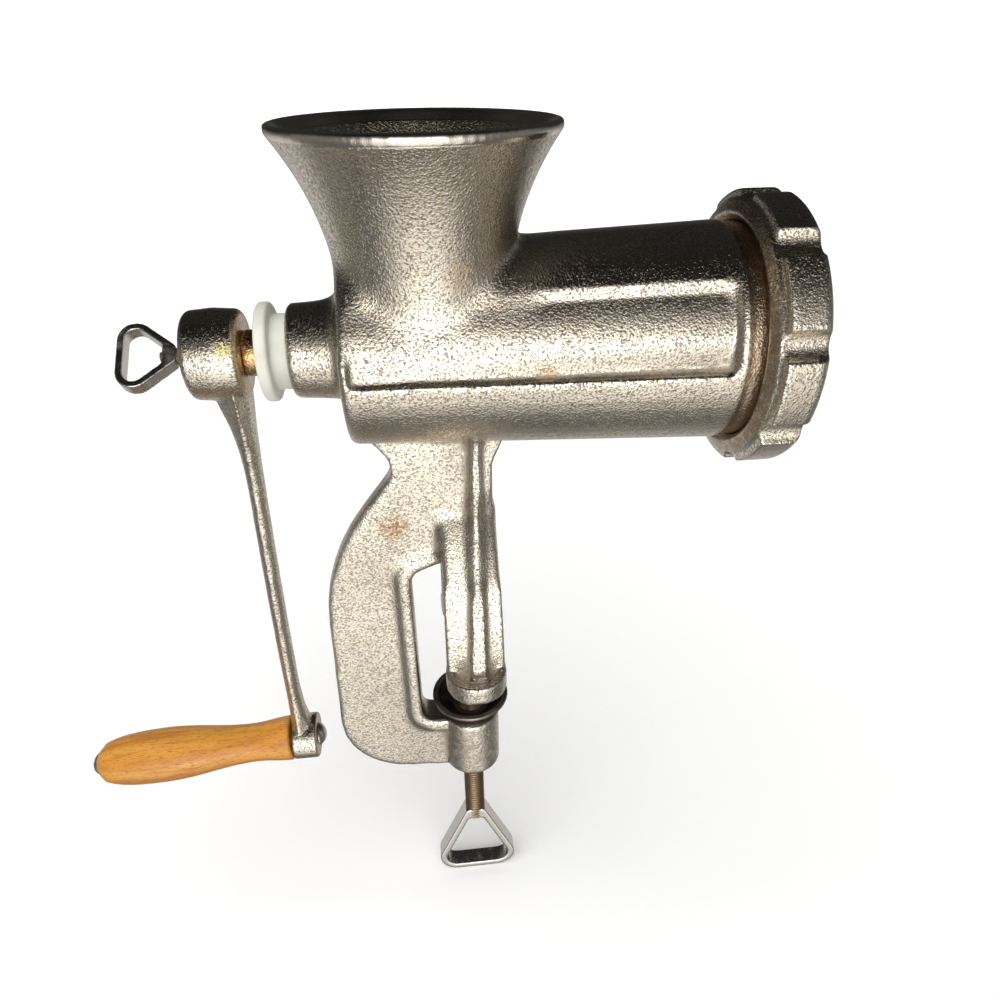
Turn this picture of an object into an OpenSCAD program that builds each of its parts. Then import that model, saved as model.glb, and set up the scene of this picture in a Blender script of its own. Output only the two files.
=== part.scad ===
// Hand-cranked meat grinder that clamps to the edge of a table, in millimetres.
// The origin is on the table top between the two feet, on the axis of the clamp screw.
// +X runs along the barrel to the outlet, +Y away from the viewer and +Z up.

/* [Barrel] */
// Height of the barrel axis above the table top
axis_h = 141; // [135:1:160]
// Rear face of the barrel, measured back from the clamp screw
rear_x = 38.5; // [34:0.5:46]
// Length from the rear face to the front collar
barrel_len = 130.5; // [124:0.5:150]
// Growth of the outer radius from the rear face to the front collar
barrel_taper = 4.9; // [2.4:0.1:5.4]
// Thickness of the rear wall
rear_wall = 5; // [3:0.5:8]
// Rounding of the rear edge
rear_round = 2.5; // [1.5:0.5:6]
// Upper edge of the sunk panel on each side, in degrees above the horizontal
panel_top = 43.5; // [38:0.5:52]
// Height of the panel's lower edge above the axis
panel_low = -2; // [-5:0.1:2]
// Depth of the sunk panel at the rear
panel_in_rear = 2.2; // [1:0.1:2.4]
// Depth of the sunk panel in front
panel_in_front = 4.9; // [2:0.1:5.5]
// Distance from the ends of the panel to the rear face and to the collar
panel_short = 3; // [2.5:0.1:6]

/* [Rear boss] */
// Length of the rear boss
boss_len = 18.2; // [12:0.2:22]
// Radius of the rear boss at its end
boss_r = 16.2; // [15.6:0.1:19]
// Fillet between the boss and the rear face
boss_fillet = 4; // [2:0.5:6]
// Draft of the boss: growth of its radius towards the barrel
boss_draft = 1; // [0.4:0.1:2]
// Bevel of the boss's rear edge
boss_edge = 1.5; // [0.8:0.1:2]

/* [Hopper] */
// Hopper axis in front of the rear face
hopper_x = 29.4; // [28:0.2:40]
// Rim height above the barrel axis
hopper_h = 71.5; // [64:0.5:84]
// Outer radius of the rim
rim_r = 45.4; // [43:0.2:48]
// Outer radius of the throat
throat_r = 29; // [27.5:0.1:30]
// Height above the barrel axis where the flare starts
flare_z = 18.5; // [12:0.5:22]
// Wall thickness
hopper_wall = 4; // [3:0.2:5]
// Height of the turned band around the rim
rim_band = 3.4; // [2.4:0.1:5]
// Step from the flare out to the turned band
rim_step = 0.6; // [0.3:0.1:1.2]

/* [Outlet] */
// Length of the threaded spigot in front of the collar
spigot_len = 15; // [14:0.5:20]
// Step from the front collar down to the spigot thread
collar_step = 0.8; // [0.6:0.1:2]
// Wall of the mouth around the plate
mouth_wall = 2.6; // [2.4:0.1:3.2]
// Ledge of the mouth that the plate's edge covers, out to which the bore reaches
plate_ledge = 5.5; // [5:0.1:7]
// Bevel of the spigot's front edge
spigot_edge = 1; // [0.5:0.1:1.5]
// Depth of the seat that the plate drops into
seat_depth = 4; // [3:0.5:6]
// Gap between the plate and the floor of its seat
plate_lift = 1; // [0.5:0.1:2]
// Depth of the key pin below the thread
key_sink = 0.5; // [0.3:0.1:1]
// Radius of the key pin
key_r = 1.5; // [1:0.1:1.8]
// Length of the key pin
key_len = 5; // [4.5:0.1:5.5]

/* [Clamp frame] */
// Thickness of the frame web
web_t = 10; // [8:0.5:12]
// Width of the flange along the inside of the C
flange_w = 15; // [13:0.5:18]
// Thickness of the flange
flange_t = 6; // [5:0.2:7]
// Depth of the C below the table top
throat_down = 40; // [38:0.5:46]
// Height of the rear upper corner of the C above the table top
throat_up = 45; // [40:0.5:48]
// Rise of the flange over the opening, per millimetre towards the outlet
flange_rise = 0.36; // [0.2:0.01:0.5]
// Depth of the lower arm at the boss
lower_arm = 32.5; // [26:0.5:40]
// Neck at the barrel, in front of the rear face
neck_rear = 2; // [1:0.5:5]
// Flare of the neck's front edge at the barrel
neck_flare = 7; // [4:0.5:10]
// Waist of the neck, in front of the rear face
waist_x = 14.5; // [12:0.5:18]
// Waist of the neck, below the barrel axis
waist_down = 46.5; // [44:0.5:50]
// Shoulder of the frame, below the barrel axis
shoulder_down = 88.6; // [84:0.2:94]
// Lean of the back from the corner to the shoulder
back_lean = 4.4; // [2:0.2:8]
// Inside of the C behind the clamp screw
throat_back = 22.6; // [20:0.2:26]
// Back of the frame behind the clamp screw
frame_back = 62.2; // [56:0.2:66]
// Radius of the lower rear corner
corner_r = 32; // [24:1:42]
// Radius of the shoulder under the neck
shoulder_r = 90; // [60:1:110]
// Radius of the waist behind the neck
waist_r = 10; // [6:0.5:13]
// Radius of the clamp boss
clamp_boss_r = 13.2; // [11:0.2:15]

/* [Legs] */
// Width of each leg at the foot
leg_w = 25.4; // [22:0.2:28]
// Width of each leg where it leaves the neck
leg_top_w = 22.6; // [20:0.2:28]
// Thickness of each leg
leg_t = 7; // [5:0.2:9]
// Distance from the middle to each leg at the table
leg_out = 23.5; // [21:0.5:28]
// Distance from the middle to each leg where the two meet
leg_join = 2; // [1:0.5:3]
// Height above the table where the two legs meet
leg_meet = 71; // [64:0.5:76]
// Leg and foot in front of the clamp screw
leg_x = 1.8; // [0:0.2:4]
// Distance from the middle to the toe of each foot
toe_out = 38; // [36:0.5:44]
// Thickness of each foot
foot_t = 9; // [7:0.5:11]
// Depth of the hollow inside the raised rim of the foot
foot_dish = 1.6; // [0.8:0.2:3]
// Width of the raised rim of the foot
foot_rim = 3.6; // [2.5:0.1:5]
// Width of the rib at the barrel
rib_top_w = 3.2; // [2.4:0.2:5]
// Width of the rib at the foot
rib_foot_w = 7; // [5:0.2:9]
// Height of the rib over the leg
rib_rise = 4.6; // [3:0.2:6]
// Distance from the middle to the rib at the barrel
rib_root = 11; // [9:0.5:14]
// Foot of the rib in front of the clamp screw
rib_x = 2.4; // [1.4:0.1:3.4]
// Lean of the rib towards the outlet, at the barrel
rib_lean = 3.4; // [0:0.2:6]
// Height of the knee in the rib above the table
rib_knee = 39; // [30:1:50]

/* [Auger] */
// Radius of the journal in the bushing
journal_r = 8; // [7:0.1:9]
// Side of the square tang
tang = 11.2; // [9:0.1:12]
// Radial gap between the worm and the bore
worm_gap = 0.7; // [0.4:0.1:1.5]
// Pitch of the worm
worm_pitch = 38; // [30:1:48]
// Core radius behind
core_r_rear = 11; // [9.5:0.5:13]
// Core radius in front
core_r_front = 14; // [12:0.5:16]
// Thickness of the flight at its edge
flight_edge = 4; // [3:0.2:6]
// Thickness of the flight at the core
flight_root = 7; // [5:0.2:9]
// Thickness of the thrust collar behind the worm
thrust_t = 4; // [3:0.5:6]
// Radius of the thrust collar
thrust_r = 19; // [16:0.5:24]

/* [Cutting set] */
// Thickness of the grinding plate
plate_t = 7; // [6:0.5:9]
// Radius of the first ring of holes, as a share of the plate's radius
hole_first_share = 0.32; // [0.3:0.01:0.34]
// Distance from one ring of holes to the next, as a share of the plate's radius
hole_step_share = 0.16; // [0.15:0.002:0.162]
// Radius of each hole, as a share of the distance between two rings
hole_share = 0.43; // [0.27:0.01:0.44]
// Least metal between the holes of a ring
hole_wall = 1.9; // [1:0.1:3]
// Rings of holes
hole_rings = 4; // [2:1:4]
// Thickness of the knife
knife_t = 11.5; // [9:0.5:13]
// Width of each knife blade at the hub
blade_root = 12; // [9:0.5:15]
// Width of each knife blade at its tip
blade_tip = 7.5; // [5:0.5:10]
// Sweep of the tip of each blade
blade_sweep = 1.5; // [0:0.5:4]
// Radius of the knife hub
knife_hub_r = 12; // [10.5:0.5:14]
// Side of the square on the knife stud
stud_sq = 12; // [10:0.2:13]
// Radius of the stud's pilot and shank
stud_r = 5; // [4:0.1:5.5]
// Length of the stud's shank inside the auger
stud_len = 16; // [12:0.5:22]

/* [Ring nut] */
// Outer radius of the ring nut
ring_r = 48; // [46:0.5:52]
// Length of the ring nut along the barrel
ring_w = 18.5; // [16:0.5:20]
// Thickness of the ring nut from its thread to its crest
ring_wall = 10.4; // [9.4:0.1:12]
// Hold of the front lip on the edge of the plate
lip_hold = 3; // [2:0.2:4]
// Thickness of its front lip
ring_lip = 4; // [3:0.2:5]
// Grip notches around the ring
notches = 9; // [6:1:12]
// Radius of each notch
notch_r = 5.4; // [4:0.1:6]
// Depth of each notch
notch_depth = 3.6; // [2.5:0.1:4.5]
// Distance from the rear edge of the ring to its notches
notch_rim = 3.5; // [3:0.1:5]
// Distance from the thread to the ring's rear edge
ring_rear_out = 2.9; // [2:0.1:3.9]
// Length of the cone from the rear edge to the lip
ring_cone = 2.5; // [1.5:0.1:2.8]
// Rise of the lip over the bottoms of the notches
lip_rise = 0.4; // [0.2:0.1:1]
// Turn of the first notch above the horizontal
notch_turn = 11.8; // [0:0.1:40]
// Rounding of the front edge
ring_round = 3.5; // [2:0.5:5]

/* [Bushing] */
// Outer radius of the sleeve
bush_r = 13; // [11:0.1:13.4]
// Radius of the flange
bush_flange_r = 17; // [15.5:0.5:19]
// Thickness of the flange
bush_flange_t = 4.4; // [3:0.2:6]
// Bevel of the flange's edges
bush_edge = 0.8; // [0.4:0.1:1.2]
// Sleeve that stands out of the boss
bush_out = 5.2; // [4:0.2:9]

/* [Crank] */
// Distance from the barrel axis to the handle axis
crank_r = 190; // [170:1:210]
// Radius of the hub
hub_r = 15.2; // [13:0.2:17]
// Length of the hub
hub_len = 18.8; // [16:0.2:24]
// Bevel of the hub's edges
hub_bevel = 1.4; // [0.8:0.1:2]
// Rise of the ridge round the middle of the hub
hub_ridge = 0.6; // [0.3:0.1:1]
// Gap between the bushing flange and the hub
hub_gap = 5.8; // [4:0.1:8]
// Handle axis behind the front of the hub
eye_back = 6.3; // [5.8:0.1:8]
// Middle of the arm behind the front of the hub, at the shaft
arm_back = 3.8; // [3.6:0.1:6]
// Swelling of the arm's rear face at the hub
arm_swell = 6.5; // [4:0.1:8]
// Distance over which the arm swells into the hub
hub_flare = 45; // [30:1:60]
// Distance over which the arm swells into the eye
eye_flare = 42; // [30:1:60]
// Thickness of the eye along the shaft
eye_t = 11.2; // [9:0.2:13]
// Thickness of the arm along the shaft
arm_t = 6.4; // [5.4:0.2:7]
// Width of the arm across the shaft
arm_w = 10; // [8:0.2:13]
// Radius of the eye
eye_r = 10.4; // [9:0.2:13]
// Radius of the domed washer
dome_r = 8.6; // [7.5:0.1:10]
// Height of the domed washer
dome_h = 3.8; // [2.6:0.2:5]
// Radius of the thumbscrew thread
thumb_r = 3; // [2.4:0.1:3.5]
// Length of the thumbscrew inside the tang
thumb_in = 16; // [12:0.5:24]
// Distance from the end of the tang to the face of the hub
tang_short = 0.6; // [0.3:0.1:1]

/* [Handle] */
// Length of the wooden grip
grip_len = 89.5; // [78:0.5:100]
// Radius of the grip at its inner end
grip_r_in = 10.3; // [9:0.1:12]
// Radius of the grip at its neck
grip_r_neck = 8.8; // [7.5:0.1:10]
// Distance from the inner end of the grip to its neck
grip_neck_at = 18; // [12:1:26]
// Distance from the inner end of the grip to its belly
grip_belly_at = 59; // [50:1:66]
// Radius of the grip at its belly
grip_r_belly = 12.3; // [11:0.1:14]
// Radius of the grip at its outer end
grip_r_out = 5.6; // [5.2:0.1:8]
// Radius of the long rivet
bolt_r = 3.6; // [3:0.1:4.5]
// Radius of the rivet's domed head
bolt_head_r = 5.4; // [5:0.1:7]
// Height of the rivet's domed head
bolt_head_h = 3.2; // [2:0.2:4]
// Tilt of the handle axis, in degrees below the horizontal
handle_tilt = 3.6; // [0:0.2:6]

/* [Clamp screw] */
// Radius of the clamp screw thread
screw_r = 5; // [4:0.1:6]
// Bare screw between the boss and the loop when the pad is lowest
screw_free = 39; // [30:0.5:44]
// Radius of the neck that the pad turns on
neck_r = 4; // [3:0.1:4.5]
// Radius of the peened tip
tip_r = 6; // [5:0.1:8]
// Height of the peened tip
tip_h = 2.6; // [1.6:0.2:4]
// Radius of the pad
pad_r = 17.6; // [15:0.2:20]
// Depth of the dish in the pad
pad_dish = 7; // [5:0.5:9]
// Thickness of the pad
pad_t = 3; // [2:0.2:4]
// Radius of the pad's flat floor
pad_floor_r = 8; // [7:0.1:10]
// Width of the pad's rim
pad_rim = 2; // [1.2:0.1:3]
// Height of the pad's rim
pad_rim_h = 1.6; // [1:0.1:2.4]
// Gap between the boss and the lowest pad
pad_gap = 0.5; // [0.3:0.1:2]

/* [Loops] */
// Width of the clamp loop
clamp_loop_w = 41; // [36:0.5:50]
// Height of the clamp loop
clamp_loop_h = 49; // [44:0.5:60]
// Width of the clamp loop's strap
clamp_strap_w = 8.6; // [7:0.2:11]
// Thickness of the clamp loop's strap
clamp_strap_t = 3.6; // [2.8:0.1:4.6]
// Width of the thumbscrew's loop
thumb_loop_w = 26; // [23:0.2:32]
// Height of the thumbscrew's loop
thumb_loop_h = 19.6; // [18:0.2:26]
// Width of the thumbscrew loop's strap
thumb_strap_w = 5.6; // [5:0.2:8]
// Thickness of the thumbscrew loop's strap
thumb_strap_t = 2.3; // [2.2:0.1:3.6]
// Radius of the pin that holds the clamp loop
clamp_pin_r = 2.8; // [2:0.1:3.2]
// Radius of the pin that holds the thumbscrew's loop
thumb_pin_r = 1.8; // [1.4:0.1:2.2]
// Bend of the clamp loop's corners
clamp_bend = 10; // [7:0.5:13]
// Bend of the thumbscrew loop's corners
thumb_bend = 6; // [4.4:0.2:8]
// Turn of the thumbscrew's loop away from the vertical
thumb_turn = 50; // [0:1:90]

/* [Fits] */
// Radial clearance of a running fit
running = 0.08; // [0.03:0.01:0.1]
// Clearance between flat faces that only rest on each other
seat = 0.1; // [0.05:0.01:0.2]
// Radial clearance of a pressed or riveted fit
pressed = 0.02; // [0.01:0.01:0.04]
// Radial clearance of the ring nut on the spigot
ring_thread_gap = 0.2; // [0.1:0.05:0.3]
// Radial clearance of the clamp screw in its boss
screw_thread_gap = 0.1; // [0.05:0.01:0.2]
// Clearance all round a square or keyed fit
square_gap = 0.15; // [0.1:0.05:0.3]

/* [Hidden] */
$fn = 64;

cut = 1;
spigot_r = ring_r - ring_wall;
ring_rear_r = spigot_r + ring_rear_out;
barrel_r_front = spigot_r + collar_step;
barrel_r_rear = barrel_r_front - barrel_taper;
plate_r = spigot_r - mouth_wall;
outlet_r = plate_r - lip_hold;
bore_r = plate_r - plate_ledge;
hole_first = hole_first_share * plate_r;
hole_step = hole_step_share * plate_r;
hole_r = hole_share * hole_step;
rear = -rear_x;
mouth = rear + barrel_len + spigot_len;
plate_back = mouth - seat_depth + plate_lift;
plate_front = plate_back + plate_t;
knife_front = plate_back - seat;
knife_back = knife_front - knife_t;
worm_front = knife_back - seat;
worm_back = rear + rear_wall + thrust_t;
worm_r = bore_r - worm_gap;
ring_front = plate_front + seat + ring_lip;
ring_back = ring_front - ring_w;
bush_face = rear - boss_len - bush_out - bush_flange_t;
hub_front = bush_face - hub_gap;
hub_back = hub_front - hub_len;
tang_end = hub_back + tang_short;
thumb_seat = hub_back - 2 * seat - dome_h;
eye_x = hub_front - eye_back;
eye_z = axis_h - crank_r;
arm_skin = 0.3;
grip_start = eye_t / 2 + grip_r_in * tan(handle_tilt) + seat;
grip_end = grip_start + grip_len + seat;
boss_top = -throat_down;
frame_low = boss_top - lower_arm;
pad_low = boss_top + pad_gap;
pad_floor = pad_low + pad_t;
loop_top = frame_low - screw_free;

// Points of an arc about c, from angle a0 to angle a1
function arc(c, r, a0, a1, n) =
  [for (i = [0:n]) c + r * [cos(a0 + (a1 - a0) * i / n), sin(a0 + (a1 - a0) * i / n)]];

function unit(v) = v / norm(v);

// Corner at b between a and c, rounded with radius r in n steps
function corner(a, b, c, r, n) =
  let (u = unit(a - b), w = unit(c - b), h = acos(u * w) / 2)
  let (m = b + unit(u + w) * r / sin(h), p = b + u * r / tan(h), q = b + w * r / tan(h))
  let (a0 = atan2(p[1] - m[1], p[0] - m[0]), a1 = atan2(q[1] - m[1], q[0] - m[0]))
  let (d = a1 - a0, turn = d > 180 ? d - 360 : d < -180 ? d + 360 : d)
  arc(m, r, a0, a0 + turn, n);

// Outline through the corners v, each rounded with its own radius; 0 leaves it sharp
function rounded(v, radii, n = 6) =
  let (k = len(v))
  [for (i = [0:k - 1])
    each radii[i] > 0 ? corner(v[(i + k - 1) % k], v[i], v[(i + 1) % k], radii[i], n) : [v[i]]];

// Local Z along the barrel axis, starting at x
module along_axis(x) {
  translate([x, 0, axis_h]) rotate([0, 90, 0]) children();
}

// Outline in X and Z, extruded to width w about the middle plane
module in_xz(w) {
  rotate([90, 0, 0]) linear_extrude(w, center = true) children();
}

// Outline in Y and Z, extruded along X from x0 to x1
module in_yz(x0, x1) {
  translate([x0, 0, 0]) rotate([90, 0, 90]) linear_extrude(x1 - x0) children();
}

// Turned tube along the barrel axis from x0 to x1
module tube_x(x0, x1, r) {
  along_axis(x0) cylinder(h = x1 - x0, r = r);
}

// Barrel, rear boss and spigot as one turned solid
module barrel_solid() {
  boss_base = boss_r + boss_draft;
  total = barrel_len + spigot_len;
  profile = concat(
    [[0, -boss_len], [boss_r - boss_edge, -boss_len], [boss_r, boss_edge - boss_len]],
    arc([boss_base + boss_fillet, -boss_fillet], boss_fillet, 180, 90, 5),
    arc([barrel_r_rear - rear_round, rear_round], rear_round, -90, 0, 6),
    [[barrel_r_front, barrel_len], [spigot_r, barrel_len],
     [spigot_r, total - spigot_edge], [spigot_r - spigot_edge, total], [0, total]]
  );
  along_axis(rear) rotate_extrude() polygon(profile);
}

// Sunk panel along one side of the barrel, as what is cut from it
module side_panel() {
  reach = 2 * barrel_r_front;
  x0 = rear + panel_short;
  x1 = rear + barrel_len - panel_short;
  wall0 = -barrel_r_rear * cos(panel_top);
  wall1 = -barrel_r_front * cos(panel_top);
  difference() {
    translate([0, 0, axis_h + panel_low])
      linear_extrude(reach)
        polygon([[x0, wall0], [x0, -reach], [x1, -reach], [x1, wall1]]);
    along_axis(rear)
      cylinder(h = barrel_len, r1 = barrel_r_rear - panel_in_rear, r2 = barrel_r_front - panel_in_front);
  }
}

// Flare of the hopper: radius and centre of its curve, from the throat to the rim
flare_out = rim_r - rim_step - throat_r;
rim_round = hopper_wall / 4;
flare_up = hopper_h - rim_band - flare_z;
flare_a = 2 * atan(flare_out / flare_up);
flare_r = flare_up / sin(flare_a);
flare_c = [throat_r + flare_r, flare_z];

module hopper_solid() {
  throat_low = flare_z / 2;
  profile = concat(
    [[0, throat_low], [throat_r, throat_low]],
    arc(flare_c, flare_r, 180, 180 - flare_a, 12),
    [[rim_r, hopper_h - rim_band + rim_step]],
    arc([rim_r - rim_round, hopper_h - rim_round], rim_round, 0, 90, 4),
    [[0, hopper_h]]
  );
  translate([rear + hopper_x, 0, axis_h]) rotate_extrude() polygon(profile);
}

module hopper_hollow() {
  inner = flare_r + hopper_wall;
  bevel = rim_round / 2;
  top_a = asin((hopper_h - bevel - flare_z) / inner);
  lip = flare_c + inner * [-cos(top_a), sin(top_a)];
  profile = concat(
    [[0, 0], [throat_r - hopper_wall, 0]],
    arc(flare_c, inner, 180, 180 - top_a, 12),
    [lip + [bevel, bevel], lip + [bevel, bevel + cut], [0, hopper_h + cut]]
  );
  translate([rear + hopper_x, 0, axis_h]) rotate_extrude() polygon(profile);
}

// Underside of the flange over the opening of the C, rising to the outlet side
neck_front = leg_x + leg_top_w / 2;
function under_flange(x) = throat_up + (x + throat_back) * flange_rise;

module frame_web() {
  top = axis_h - bore_r - cut;
  mid = flange_t / 2;
  inside = -throat_back - mid;
  edge = neck_front - cut;
  v = [
    [rear + neck_rear, top],
    [rear + waist_x, axis_h - waist_down],
    [back_lean - frame_back, axis_h - shoulder_down],
    [-frame_back, frame_low],
    [0, frame_low],
    [0, boss_top - mid],
    [inside, boss_top - mid],
    [inside, under_flange(inside) + mid],
    [edge, under_flange(edge) + mid],
    [edge, axis_h - waist_down],
    [edge + neck_flare, top]
  ];
  in_xz(web_t) polygon(rounded(v, [0, waist_r, shoulder_r, corner_r, 0, 0, 0, 0, 0, waist_r, 0]));
}

// Flange along the inside of the C
module frame_flange() {
  up = flange_t * sqrt(1 + flange_rise * flange_rise);
  back = -throat_back - flange_t;
  low = boss_top - flange_t - cut;
  v = [
    [neck_front, under_flange(neck_front)],
    [-throat_back, under_flange(-throat_back)],
    [-throat_back, boss_top],
    [0, boss_top],
    [0, low],
    [back, low],
    [back, under_flange(back) + up],
    [neck_front, under_flange(neck_front) + up]
  ];
  bend = flange_t;
  in_xz(flange_w) polygon(rounded(v, [0, bend, bend, 0, 0, 2 * bend, 1.5 * bend, 0]));
}

// Curve of each leg: it leaves the neck on a slant and stands upright at the table
leg_bow = 2 * atan((leg_out - leg_join) / leg_meet);
leg_r = leg_meet / sin(leg_bow);
function leg_face(z) = leg_r - leg_out - sqrt(pow(leg_r + leg_t / 2, 2) - z * z);

module leg() {
  leg_top = leg_meet + leg_t / 2;
  leg_step = 0.4;
  intersection() {
    in_yz(leg_x - leg_w, leg_x + leg_w)
      intersection() {
        difference() {
          translate([leg_r - leg_out, 0]) circle(leg_r + leg_t / 2);
          translate([leg_r - leg_out, 0]) circle(leg_r - leg_t / 2);
        }
        translate([-toe_out, 0]) square([toe_out + 1, leg_top]);
      }
    in_xz(4 * toe_out)
      polygon([
        [leg_x - leg_w / 2 + leg_step, -cut],
        [leg_x + leg_w / 2 - leg_step, -cut],
        [leg_x + leg_top_w / 2, leg_top + cut],
        [leg_x - leg_top_w / 2, leg_top + cut]
      ]);
  }
}

module foot() {
  round_r = leg_w / 2;
  heel = leg_out;
  difference() {
    union() {
      translate([leg_x, round_r - toe_out, 0]) cylinder(h = foot_t, r = round_r);
      translate([leg_x - round_r, round_r - toe_out, 0])
        cube([leg_w, toe_out - round_r - heel, foot_t]);
    }
    translate([leg_x, round_r - toe_out, foot_t - foot_dish])
      cylinder(h = foot_dish + cut, r = round_r - foot_rim);
  }
}

// Rib from the belly of the barrel down the outside of a leg to its foot
module leg_rib() {
  top = axis_h - bore_r - cut;
  bend = leg_meet - leg_t / 3;
  inside = leg_t / 2;
  toe = leg_face(foot_t) - rib_rise;
  mid = rib_x + rib_lean;
  intersection() {
    in_yz(leg_x - leg_w, leg_x + leg_w)
      polygon([
        [-rib_root, top],
        [leg_face(bend) - rib_rise, bend],
        [leg_face(rib_knee) - rib_rise, rib_knee],
        [toe, foot_t + rib_rise / 2],
        [toe, foot_t / 2],
        [leg_face(foot_t) + inside, foot_t / 2],
        [leg_face(rib_knee) + inside, rib_knee],
        [leg_face(bend) + inside, bend],
        [leg_face(bend) + inside, top]
      ]);
    in_xz(4 * toe_out)
      polygon([
        [mid - rib_top_w / 2, top + cut],
        [mid + rib_top_w / 2, top + cut],
        [rib_x + rib_foot_w / 2, 0],
        [rib_x - rib_foot_w / 2, 0]
      ]);
  }
}

module body_casting() {
  color("#b9b2a4")
    difference() {
      union() {
        difference() {
          barrel_solid();
          for (side = [0, 1])
            mirror([0, side, 0]) side_panel();
        }
        hopper_solid();
        frame_web();
        frame_flange();
        for (side = [0, 1])
          mirror([0, side, 0]) {
            leg();
            foot();
            leg_rib();
          }
        translate([0, 0, frame_low]) cylinder(h = boss_top - frame_low, r = clamp_boss_r);
      }
      tube_x(rear + rear_wall, mouth + cut, bore_r);
      tube_x(mouth - seat_depth, mouth + cut, plate_r + seat);
      tube_x(rear - boss_len - cut, rear + rear_wall + cut, bush_r);
      hopper_hollow();
      translate([0, 0, frame_low - cut])
        cylinder(h = boss_top - frame_low + 2 * cut, r = screw_r + screw_thread_gap);
      key_pin(key_r);
    }
}

// Key pin through the lower wall of the mouth
module key_pin(r) {
  translate([mouth - seat_depth / 2, 0, axis_h - spigot_r + key_sink]) cylinder(h = key_len, r = r);
}

module plate_key() {
  color("#8d8a84") key_pin(key_r - pressed);
}

module rear_bushing() {
  fit_r = bush_r - pressed;
  length = rear + rear_wall - bush_face - seat;
  color("#e4e8df")
    along_axis(bush_face)
      difference() {
        rotate_extrude()
          polygon([
            [0, 0],
            [bush_flange_r - bush_edge, 0],
            [bush_flange_r, bush_edge],
            [bush_flange_r, bush_flange_t - bush_edge],
            [bush_flange_r - bush_edge, bush_flange_t],
            [fit_r, bush_flange_t],
            [fit_r, length],
            [0, length]
          ]);
        translate([0, 0, -cut]) cylinder(h = length + 2 * cut, r = journal_r + running);
      }
}

// Skin over a row of rings that have the same number of points, closed at both ends
module skin(rings) {
  k = len(rings[0]);
  last = (len(rings) - 1) * k;
  sides = [
    for (i = [0:len(rings) - 2])
      for (j = [0:k - 1])
        let (a = k * i + j, b = k * i + (j + 1) % k)
        each [[a, b, a + k], [b, b + k, a + k]]
  ];
  ends = [for (j = [1:k - 2]) each [[j + 1, j, 0], [last, last + j, last + j + 1]]];
  polyhedron([for (ring = rings) each ring], concat(sides, ends));
}

// Flight of the worm: a tapering strip wound along the core
module flight() {
  steps = 22;
  edge = flight_edge / 2;
  root = flight_root / 2;
  length = worm_front - worm_back - flight_root;
  turns = length / worm_pitch;
  n = ceil(turns * steps);
  inner = 0.75 * core_r_rear;
  section = [[inner, -root], [worm_r, -edge], [worm_r, edge], [inner, root]];
  along_axis(worm_back)
    skin([
      for (i = [0:n])
        let (a = 360 * turns * i / n)
        [for (p = section) [p[0] * cos(a), p[0] * sin(a), root + length * i / n + p[1]]]
    ]);
}

module auger() {
  collar_back = rear + rear_wall + seat;
  color("#a8a49b")
    difference() {
      union() {
        along_axis(worm_back)
          cylinder(h = worm_front - worm_back, r1 = core_r_rear, r2 = core_r_front);
        flight();
        tube_x(collar_back, worm_back + cut, thrust_r);
        tube_x(hub_front, collar_back + cut, journal_r);
        along_axis(tang_end)
          translate([-tang / 2, -tang / 2, 0])
            cube([tang, tang, hub_front - tang_end + cut]);
      }
      tube_x(tang_end - cut, tang_end + thumb_in + thumb_r, thumb_r + running);
      tube_x(worm_front - stud_len - seat, worm_front + cut, stud_r + pressed);
    }
}

module knife_stud() {
  pilot = stud_r - running;
  color("#86837d") union() {
    tube_x(worm_front - stud_len, worm_front + cut, stud_r);
    along_axis(worm_front + seat)
      translate([-stud_sq / 2, -stud_sq / 2, 0])
        cube([stud_sq, stud_sq, knife_front - worm_front - 2 * seat]);
    tube_x(knife_front - cut, plate_front - seat, pilot);
  }
}

module knife() {
  hole = stud_sq + 2 * square_gap;
  reach = worm_r + cut;
  blade = [
    [0, -blade_root / 2],
    [reach, blade_sweep - blade_tip / 2],
    [reach, blade_sweep + blade_tip / 2],
    [0, blade_root / 2]
  ];
  color("#9a9892")
    along_axis(knife_back)
      linear_extrude(knife_t)
        difference() {
          intersection() {
            union() {
              circle(knife_hub_r);
              for (a = [0:90:270])
                rotate(a) polygon(blade);
            }
            circle(worm_r);
          }
          square(hole, center = true);
        }
}

module grinding_plate() {
  notch = key_r + square_gap;
  notch_in = spigot_r - key_len - key_sink - square_gap;
  half_hole = 7;
  color("#8f8c86")
    along_axis(plate_back)
      difference() {
        cylinder(h = plate_t, r = plate_r);
        translate([0, 0, -cut]) cylinder(h = plate_t + 2 * cut, r = stud_r);
        for (ring = [0:hole_rings - 1])
          let (r = hole_first + ring * hole_step, count = floor(2 * PI * r / (2 * hole_r + hole_wall)))
            for (i = [0:count - 1])
              rotate(360 * i / count + half_hole * ring)
                translate([r, 0, -cut])
                  cylinder(h = plate_t + 2 * cut, r = hole_r, $fn = 24);
        translate([notch_in, -notch, -cut])
          cube([plate_r - notch_in + cut, 2 * notch, plate_t + 2 * cut]);
      }
}

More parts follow.
